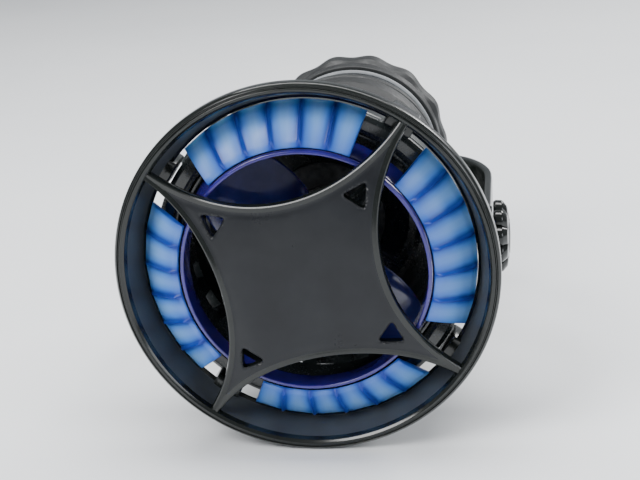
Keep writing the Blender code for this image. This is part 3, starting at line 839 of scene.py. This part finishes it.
def spider():
    """Four arms behind the propeller that hold its front bushing."""
    band = [(12.2, 30.0, 0.2), (12.2, 30.75, 0.2), (4.8, 30.75, 0.3), (4.8, 29.7, 0.3),
            (11.0, 29.7, 0.3)]
    verts, faces = turned_mesh(fillet(band, 0.2, 3), 192)
    made = build("visual_spider", verts, faces, SLATE)
    core = [(5.7, 4.3, 0.2), (5.7, 8.9, 0.2), (5.35, 9.2, 0.1), (5.5, 9.6, 0.1),
            (5.1, 10.5, 0.4), (1.6, 10.5, 0.4), (1.6, 4.3, 0.2)]
    add_turned(made, core, 96, head, 0.2)
    rows = 33
    cols = 9
    inner, outer = 9.0, 30.25
    for turn in range(4):
        top = []
        low = []
        for i in range(rows):
            r = inner + (outer - inner) * i / (rows - 1)
            half = 1.5 + 3.9 * abs((r - 19.0) / 11.2) ** 2.2
            rise = 1.5 * max(0.0, r - 27.5)
            for j in range(cols):
                v = 2.0 * j / (cols - 1) - 1.0
                across = math.degrees(v * half / r)
                crown = 0.45 * (1 - v * v)
                tuck = 0.5 if abs(v) > 0.99 else 0.0
                deg = 45.0 + 90.0 * turn + across
                top.append(head(5.05 + rise + crown - tuck, r, deg))
                low.append(head(2.0 + 0.8 * rise + tuck * 0.6, r, deg))
        verts, faces = shell_mesh(top, low, rows, cols)
        join(made, build("arm_tool", verts, faces), 'UNION')
    soften(made, 38.0)
    settle(made, "head", ["spider"])


def propeller():
    """Two-bladed propeller with its hub cap and shaft."""
    hub = [(12.0, 1.8, 0.1), (12.0, 6.1, 0.3), (11.75, 6.4, 0.1), (11.75, 6.7, 0.1),
           (11.4, 7.0, 0.3), (6.6, 7.0, 0.3), (6.2, 6.6, 0.2), (6.2, 1.8, 0.1)]
    verts, faces = turned_mesh(fillet(hub, 0.2, 3), 96)
    made = build("visual_propeller", verts, faces, BLADE)
    nr = 41
    nc = 25
    root = 5.8
    for turn in range(2):
        top = []
        low = []
        for i in range(nr):
            u = i / (nr - 1)
            r = root + (BLADE_TIP - root) * u
            oval = math.sqrt(max(1.0 - (2.0 * u - 1.06) ** 2 / 1.16, 0.02))
            half = 2.6 + 8.2 * oval
            tilt = math.radians(20.0 - 8.0 * u)      # flatter towards the tip
            for j in range(nc):
                v = math.sin(QUARTER * (2.0 * j / (nc - 1) - 1.0))
                c = v * half * math.cos(tilt)
                drop = v * half * math.sin(tilt)
                reach = math.sqrt(max(r * r - 0.55 * c * c, 4.0))
                deg = 135.0 + 180.0 * turn + math.degrees(math.atan2(c, reach))
                deg_r = min(math.hypot(reach, c), BLADE_TIP)
                mid = 9.8 + drop + 0.4 * (1 - v * v)
                thick = 0.10 + 0.8 * (1 - v * v) ** 0.5 * (1 - 0.55 * u)
                if i in (0, nr - 1):
                    thick = min(thick, 0.18)
                top.append(head(mid + thick, deg_r, deg))
                low.append(head(mid - thick, deg_r, deg))
        verts, faces = shell_mesh(top, low, nr, nc)
        join(made, build("blade_tool", verts, faces), 'UNION')
    soften(made, 45.0)
    settle(made, "rotor", ["propeller"])
    nose = [(14.6, 0), (14.55, 1.4, 0.3), (14.0, 3.6, 1.0), (13.3, 5.3, 0.6), (12.9, 6.0, 0.2),
            (12.3, 6.2, 0.2), (12.3, 0)]
    turned("visual_hub_cap", nose, INDIGO, "rotor", ["hub_cap"], 96)
    rod = [(11.8, 0), (11.8, 1.3, 0.1), (11.5, 1.5, 0.1), (-29.5, 1.5, 0.1), (-29.8, 1.3, 0.1),
           (-29.8, 0)]
    turned("visual_shaft", rod, CERAMIC, "rotor", ["shaft"], 48)


def motor():
    """Motor housing with its screws, rear cap and cable gland."""
    shell = [(-18.3, 9.8, 0.1), (-18.3, 25.8, 0.3), (-18.8, 26.1, 0.2), (-20.5, 26.1, 0.3),
             (-20.9, 25.7, 0.3), (-21.3, 22.4, 0.5), (-22.2, 21.4, 0.3)]
    for k in range(3):
        s = -23.6 - 2.6 * k
        shell += [(s, 21.4, 0.15), (s - 0.25, 20.9, 0.15), (s - 1.05, 20.9, 0.15),
                  (s - 1.3, 21.3, 0.15)]
    shell += [(-32.3, 21.2, 0.4), (-33.0, 20.6, 0.2), (-33.0, 19.2, 0.1), (-20.6, 19.2, 0.1),
              (-20.6, 9.8, 0.1)]
    verts, faces = turned_mesh(fillet(shell, 0.2, 3), 160)
    made = build("visual_motor_housing", verts, faces, BLACK)
    place = about((0, PIVOT_Y + 26.0, 0), Matrix.Identity(4))
    boss = [(-19.6, 0), (-19.6, 5.6, 0.1), (-22.9, 5.2, 0.3), (-23.5, 4.9, 0.2), (-23.5, 0)]
    add_turned(made, boss, 64, place, 0.2)
    drill(made, -15.0, -28.0, 2.0, 32, place)
    for turn in range(4):
        cage_screw(turn)
    screw_holes(made, -24.0)
    soften(made, 38.0)
    settle(made, "head", ["motor_housing"])

    cap = [(-31.5, 0), (-31.5, 17.3, 0.1), (-33.3, 17.3, 0.1), (-33.3, 21.0, 0.3),
           (-34.0, 21.0, 0.2), (-34.9, 20.5, 0.8), (-36.0, 17.9, 0.8), (-36.2, 16.2, 0.1),
           (-35.9, 15.9, 0.1), (-35.9, 15.2, 0.1), (-36.3, 14.9, 0.1), (-36.5, 12.8, 0.2),
           (-36.5, 0)]
    made = turned("visual_rear_cap", cap, BLACK, "head", ["rear_cap"],
                  144)
    grooves = [block("cap_groove_tool", (5.6, 1.4, 0.9), -36.6, 8.4, 30.0 * k)
               for k in range(12)]
    join(made, merge(grooves, "cap_grooves_tool"), 'DIFFERENCE')
    soften(made, 38.0)

    relief = [(-23.8, 0), (-23.8, 4.6, 0.2), (-25.0, 4.6, 0.3), (-25.2, 3.4, 0.2),
              (-25.8, 3.4, 0.2), (-26.0, 4.0, 0.2), (-26.8, 3.9, 0.2), (-27.0, 3.0, 0.2),
              (-27.6, 3.0, 0.2), (-27.8, 3.5, 0.2), (-28.6, 3.4, 0.2), (-28.8, 2.6, 0.2),
              (-29.4, 2.5, 0.3), (-29.4, 1.6, 0.2), (-28.2, 1.5, 0.1), (-28.2, 0)]
    turned("visual_cable_gland", relief, RUBBER, "head", ["cable_gland"], 64,
           place)


def cage_screw(turn):
    """Pan-head screw with a cross recess."""
    outline = [(-16.8, 0), (-16.8, 1.1, 0.1), (-21.4, 1.1, 0.0), (-21.4, 2.0, 0.1),
               (-22.2, 2.0, 0.2), (-23.0, 1.3, 0.5), (-23.0, 0)]
    verts, faces = turned_mesh(fillet(outline, 0.1, 3), 40, screw_axis(turn))
    made = build("visual_cage_screw_%d" % (turn + 1), verts, faces, STEEL)
    spot = Matrix.Translation(head(-23.0, SCREW_R, 45.0 + 90.0 * turn))
    for size in ((2.1, 1.1, 0.42), (0.42, 1.1, 2.1)):
        join(made, box("cross_tool", size, spot), 'DIFFERENCE')
    soften(made, 35.0)
    settle(made, "head", ["cage_screw_%d" % (turn + 1)])


# -------------------------------------------------------------- yoke and base
def yoke():
    """Bent flat strap with rounded edges, two eyes and a swivel boss."""
    # Stations in the X-Y plane: x, y, half thickness, half width.
    path = [(39.0, PIVOT_Y - 2, 1.1, 5.6), (39.0, -64.0, 1.1, 5.7), (39.0, -58.0, 1.1, 5.8),
            (39.0, -49.0, 1.1, 5.9), (39.0, -40.0, 1.1, 6.0), (38.4, -35.0, 1.3, 6.2),
            (36.3, -29.8, 1.5, 6.4), (33.0, -25.8, 1.7, 6.6), (28.4, -22.9, 1.8, 6.8),
            (23.0, -21.6, 1.9, 7.0), (12.0, -21.6, 2.0, 7.6)]
    path += [(-x, y, t, w) for x, y, t, w in reversed(path)]
    fine = smooth_path(path, 6)
    around = 28
    section = []
    for i in range(around):
        a = 2 * math.pi * i / around
        c, s = math.cos(a), math.sin(a)
        side = math.copysign(abs(c) ** 0.55, c)
        up = math.copysign(abs(s) ** 0.22, s)
        section.append((side, up))
    verts = []
    rings = []
    for i, (x, y, thick, half) in enumerate(fine):
        before = Vector(fine[max(i - 1, 0)][:2])
        after = Vector(fine[min(i + 1, len(fine) - 1)][:2])
        line = (after - before).normalized()
        out = Vector((-line.y, line.x)) * thick
        ring = []
        for side, up in section:
            ring.append(len(verts))
            verts.append(Vector((x + out.x * side, y + out.y * side, half * up)) * MM)
        rings.append(ring)
    faces = [tuple(rings[0]), tuple(reversed(rings[-1]))]
    for a, b in zip(rings[:-1], rings[1:]):
        for k in range(around):
            n = (k + 1) % around
            faces.append((a[k], a[n], b[n], b[k]))
    made = build("visual_yoke", verts, faces, GLOSS)
    boss = [(-19.6, 0), (-19.6, 8.9, 0.3), (-20.2, 9.2, 0.3), (-23.0, 9.2, 0.4),
            (-23.6, 8.8, 0.3), (-23.6, 0)]
    add_turned(made, boss, 72, BASE)
    eye = [(37.8, 0), (37.8, 7.0, 0.3), (38.3, 7.2, 0.3), (39.7, 7.2, 0.3), (40.2, 6.8, 0.3),
           (40.2, 0)]
    for side in (-1, 1):
        add_turned(made, eye, 64, tilt_axis(side))
        drill(made, 30.0, 45.0, 1.9, 32, tilt_axis(side))
    drill(made, -15.0, -30.0, 3.35, 40, BASE)
    soften(made, 40.0)
    settle(made, "yoke", ["yoke"])


def smooth_path(path, steps):
    """Catmull-Rom curve through the path's points."""
    out = []
    last = len(path) - 1
    for i in range(last):
        p = [Vector(path[min(max(k, 0), last)]) for k in (i - 1, i, i + 1, i + 2)]
        for n in range(steps):
            t = n / steps
            q = 0.5 * ((2 * p[1]) + (p[2] - p[0]) * t
                       + (2 * p[0] - 5 * p[1] + 4 * p[2] - p[3]) * t * t
                       + (3 * p[1] - p[0] - 3 * p[2] + p[3]) * t ** 3)
            out.append(tuple(q))
    out.append(tuple(path[-1]))
    return out


def knob_lobes(along, radius, deg):
    """Ten finger lobes on the outer part of a knob's head."""
    if along < 40.4 or radius < 5.0:
        return 0.0
    grip = abs(math.cos(math.radians(deg * 5.0))) ** 0.7
    return (grip - 0.62) * 1.35 * min(1.0, (radius - 5.0) / 2.0)


def knobs():
    """Lobed clamp knob and rubber washer on each side of the yoke."""
    for side, word in ((-1, "left"), (1, "right")):
        point = tilt_axis(side)
        outline = [(32.4, 0), (32.4, 1.4, 0.2), (40.5, 1.4, 0.1), (40.5, 7.6, 0.3),
                   (41.1, 8.0, 0.3), (42.5, 7.9, 0.8), (43.6, 6.6, 0.8), (44.0, 4.9, 0.2),
                   (43.75, 4.5, 0.1), (43.75, 4.2, 0.1), (44.15, 3.9, 0.2), (44.4, 0)]
        turned("visual_knob_" + word, outline, GLOSS, "knob_" + word, ["knob_" + word],
               240, point, swell=knob_lobes)
        washer = [(37.0, 1.9, 0.1), (37.0, 5.4, 0.2), (37.5, 5.4, 0.2), (37.5, 1.9, 0.1)]
        turned("visual_pivot_washer_" + word, washer, RUBBER, "head", ["pivot_washer_" + word],
               64, point, 0.1)


def magnet_pad(prefix, start, way, body):
    """Glass-side pad of one magnet half; way is +1 or -1 along Y."""
    def y(d):
        return start + way * d

    pad = [(y(0), 0), (y(0), 22.6, 0.1), (y(0.5), 22.9, 0.1), (y(0.5), 23.2, 0.1),
           (y(0), 23.4, 0.1), (y(0.35), 24.0, 0.3), (y(1.6), 24.0, 0.2), (y(1.6), 0)]
    turned("visual_%s_pad" % prefix, pad, SILICONE, body, [prefix + "_pad"],
           144, BASE, 0.1)


def base():
    """Both magnet halves, the swivel washer and the swivel screw."""
    magnet_pad("wet", 0.0, -1, "base")
    magnet_pad("dry", 6.0, 1, "dry_half")
    cup = [(-1.9, 22.6, 0.1), (-1.9, 24.8, 0.3), (-2.4, 25.0, 0.2), (-4.6, 25.0, 0.1),
           (-4.9, 24.7, 0.1), (-5.5, 24.7, 0.1), (-5.8, 24.95, 0.1), (-10.5, 24.6, 1.2),
           (-13.7, 23.1, 1.6), (-14.8, 20.4, 0.8), (-15.0, 15.0, 0.3), (-14.7, 14.6, 0.1),
           (-14.7, 13.8, 0.1), (-15.05, 13.4, 0.2), (-15.2, 9.8, 1.0), (-17.8, 8.8, 0.2),
           (-18.0, 8.6, 0.1), (-18.0, 3.3, 0.1), (-11.4, 3.3, 0.1), (-11.4, 0), (-10.5, 0),
           (-10.5, 22.6, 0.1)]
    turned("visual_wet_housing", cup, BLACK, "base", ["wet_housing"],
           160, BASE, 0.2)
    ring = [(-18.3, 3.5, 0.1), (-18.3, 8.4, 0.2), (-19.3, 8.4, 0.2), (-19.3, 3.5, 0.1)]
    turned("visual_swivel_washer", ring, RUBBER, "base", ["swivel_washer"], 72,
           BASE, 0.2)
    pin = [(-11.8, 0), (-11.8, 2.7, 0.1), (-12.1, 3.0, 0.1), (-23.9, 3.0, 0.0),
           (-23.9, 6.2, 0.15), (-25.3, 6.2, 0.3), (-26.1, 5.3, 0.4), (-26.1, 2.9, 0.15),
           (-24.9, 2.7, 0.1), (-24.9, 0)]
    turned("visual_swivel_screw", pin, STEEL, "base", ["swivel_screw"], 72,
           BASE, 0.1)

    def grip(along, radius, deg):
        """Fourteen shallow waves round the dry half's rim."""
        if radius < 17.0 or not 12.0 < along < 22.5:
            return 0.0
        wave = math.cos(math.radians(deg * 14.0))
        return 0.45 * wave * min(1.0, (along - 12.0) / 1.2) * min(1.0, (22.6 - along) / 1.4)

    cup = [(16.5, 0), (16.5, 22.6, 0.1), (7.9, 22.6, 0.1), (7.9, 24.8, 0.3), (8.4, 25.0, 0.2),
           (12.2, 25.0, 0.3), (13.4, 25.8, 0.6), (15.8, 26.0, 0.3), (18.2, 26.0, 1.0),
           (21.2, 23.6, 2.0), (22.7, 18.4, 1.0), (22.95, 16.0, 0.3), (22.6, 15.5, 0.15),
           (22.6, 14.7, 0.15), (22.95, 14.2, 0.3), (23.0, 0)]
    turned("visual_dry_housing", cup, BLACK, "dry_half", ["dry_housing"],
           280, BASE, 0.2, swell=grip)


def dress_cad():
    """Materials for the inner pieces that keep their CAD shape."""
    looks = {"front_bushing": CERAMIC, "rear_bushing": CERAMIC, "thrust_washer": CERAMIC,
             "rotor_magnet": FERRITE, "rotor_can": BLACK, "stator_core": CORE,
             "cap_seal": RUBBER, "wet_magnet": NICKEL, "dry_magnet": NICKEL,
             "wet_plate": STEEL, "dry_plate": STEEL}
    for k in range(1, 7):
        looks["coil_%d" % k] = COPPER
    for name, mat in looks.items():
        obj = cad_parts[name]
        for slot in obj.material_slots:
            slot.material = mat.mat
        bevel(obj, 0.12, 2, 40.0)


# ---------------------------------------------------------------------- stage
def stage(low):
    """Pale floor at the object's lowest point, curving up into a back wall."""
    verts = []
    faces = []
    depth = 28
    half = 2.2
    flat = 0.55          # share of the rows on the level part
    curve = 0.9
    for i in range(depth):
        t = i / (depth - 1)
        if t < flat:
            y, z = -1.2 + 2.2 * t / flat, 0.0
        else:
            a = (t - flat) / 0.45 * QUARTER
            y, z = 1.0 + curve * math.sin(a), curve * (1 - math.cos(a))
        verts += [(-half, y, low + z), (half, y, low + z)]
    verts += [(-half, 1.9, low + 2.6), (half, 1.9, low + 2.6)]
    for i in range(depth):
        a = 2 * i
        faces.append((a, a + 1, a + 3, a + 2))
    mesh = bpy.data.meshes.new("studio_floor")
    mesh.from_pydata(verts, [], faces)
    mesh.shade_smooth()
    floor = link("studio_floor", mesh)
    m = Mat("pale_floor", (0.80, 0.82, 0.84), 0.55)
    m.colour(m.ramp(m.noise(6.0, 3.0), ((0.3, (0.78, 0.80, 0.82)), (0.7, (0.83, 0.845, 0.86)))))
    mesh.materials.append(m.mat)


def lamp(name, spot, aim, size, power, tint=(1, 1, 1), tall=None):
    """Area lamp at a spot, facing its aim."""
    data = bpy.data.lights.new(name, 'AREA')
    data.shape = 'RECTANGLE'
    data.size = size
    data.size_y = tall or size
    data.energy = power
    data.color = tint
    obj = link(name, data)
    obj.location = spot
    obj.rotation_euler = (Vector(aim) - Vector(spot)).to_track_quat('-Z', 'Y').to_euler()


def camera(azimuth, elevation, aim, distance, lens, roll):
    """Camera a distance from its aim, seen from an azimuth and elevation."""
    a = math.radians(azimuth)
    e = math.radians(elevation)
    away = Vector((math.sin(a) * math.cos(e), -math.cos(a) * math.cos(e), math.sin(e)))
    data = bpy.data.cameras.new("camera")
    data.lens = lens
    data.sensor_width = 36.0
    data.clip_start = 0.01
    obj = link("camera", data)
    obj.location = Vector(aim) + away * distance
    look = (-away).to_track_quat('-Z', 'Y').to_matrix().to_4x4()
    turn = look @ Matrix.Rotation(math.radians(roll), 4, 'Z')
    obj.rotation_euler = turn.to_euler()
    bpy.context.scene.camera = obj


wide_ring()
cage()
spider()
propeller()
motor()
yoke()
knobs()
base()
dress_cad()

stage(cad_box[0][2])
lamp("key", (-0.45, -0.55, 0.60), (0, -0.06, 0), 0.40, 8.0)
lamp("fill", (0.75, -0.45, 0.30), (0, -0.06, 0), 0.40, 3.0, (0.93, 0.96, 1.0))
lamp("top", (0.0, 0.02, 0.70), (0, -0.06, 0), 0.8, 9.0, tall=0.25)
lamp("rim", (0.45, 0.55, 0.40), (0, -0.03, 0), 0.3, 4.0)
world = bpy.data.worlds.new("studio")
world.use_nodes = True
sky = world.node_tree.nodes["Background"]
sky.inputs["Color"].default_value = (0.92, 0.95, 1.0, 1.0)
sky.inputs["Strength"].default_value = 0.36
bpy.context.scene.world = world
camera(azimuth=9.0, elevation=19.0, aim=(-0.0005, -0.064, -0.002), distance=0.30, lens=71.0,
       roll=-4.0)
